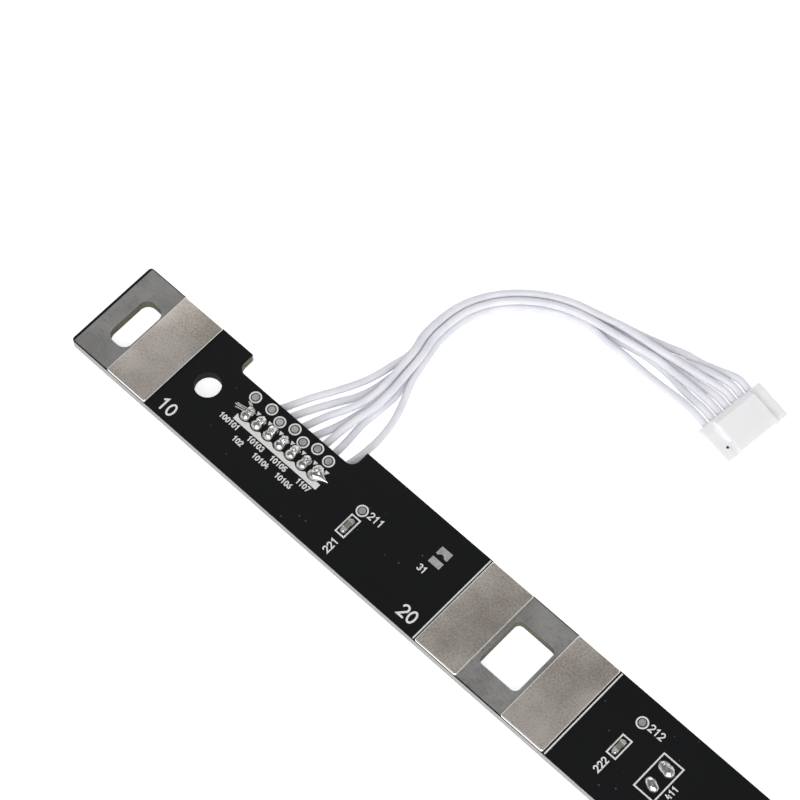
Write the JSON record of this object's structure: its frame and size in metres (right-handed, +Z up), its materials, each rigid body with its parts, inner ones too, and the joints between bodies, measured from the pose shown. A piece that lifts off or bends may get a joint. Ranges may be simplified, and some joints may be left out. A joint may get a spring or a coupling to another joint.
{
  "type": "battery management board",
  "caption": "Strip circuit board for a row of battery cells, with nickel weld plates, tap openings, chip resistors and a soldered sensing harness ending in a plug.",
  "frame": {"origin": "middle of the board's length and width, on the plane that it lies on", "axes": "+X along the board away from tap 0, +Y across it to the harness side, +Z up out of the solder side"},
  "size_m": [0.1422, 0.0557, 0.004],
  "materials": {
    "solder_mask_board": "semi-gloss black solder mask over glass epoxy",
    "tinned_copper": "hot-air levelled tin, dull",
    "nickel_strip": "satin nickel-plated strip",
    "ink": "white screen print",
    "chip_ceramic": "black-coated ceramic",
    "solder": "bright solder",
    "tinned_strand": "tinned copper strands",
    "wire_insulation": "white PVC",
    "bead_epoxy": "black dipped epoxy",
    "nylon": "natural white nylon",
    "contact_metal": "tinned phosphor bronze"
  },
  "bodies": {
    "root": {"circuit_board": "solder_mask_board", "tap_land_0": "tinned_copper", "tap_land_1": "tinned_copper", "tap_land_2": "tinned_copper", "nickel_plate_0": "nickel_strip", "nickel_plate_1a": "nickel_strip", "nickel_plate_1b": "nickel_strip", "nickel_plate_2": "nickel_strip", "test_pads": "tinned_copper", "jumper_pads": "tinned_copper", "chip_pads": "tinned_copper", "silkscreen": "ink", "resistor_body_1": "chip_ceramic", "resistor_body_2": "chip_ceramic", "resistor_caps_1": "tinned_strand", "resistor_caps_2": "tinned_strand", "wire_joint_1": "solder", "wire_joint_2": "solder", "wire_joint_3": "solder", "wire_joint_4": "solder", "wire_joint_5": "solder", "wire_joint_6": "solder", "wire_joint_7": "solder", "wire_core_1": "tinned_strand", "wire_core_2": "tinned_strand", "wire_core_3": "tinned_strand", "wire_core_4": "tinned_strand", "wire_core_5": "tinned_strand", "wire_core_6": "tinned_strand", "wire_core_7": "tinned_strand", "wire_1": "wire_insulation", "wire_2": "wire_insulation", "wire_3": "wire_insulation", "wire_4": "wire_insulation", "wire_5": "wire_insulation", "wire_6": "wire_insulation", "wire_7": "wire_insulation", "thermistor_bead": "bead_epoxy", "thermistor_leads": "tinned_strand", "thermistor_joints": "solder", "plug_housing": "nylon", "plug_contacts": "contact_metal"}
  },
  "joints": []
}
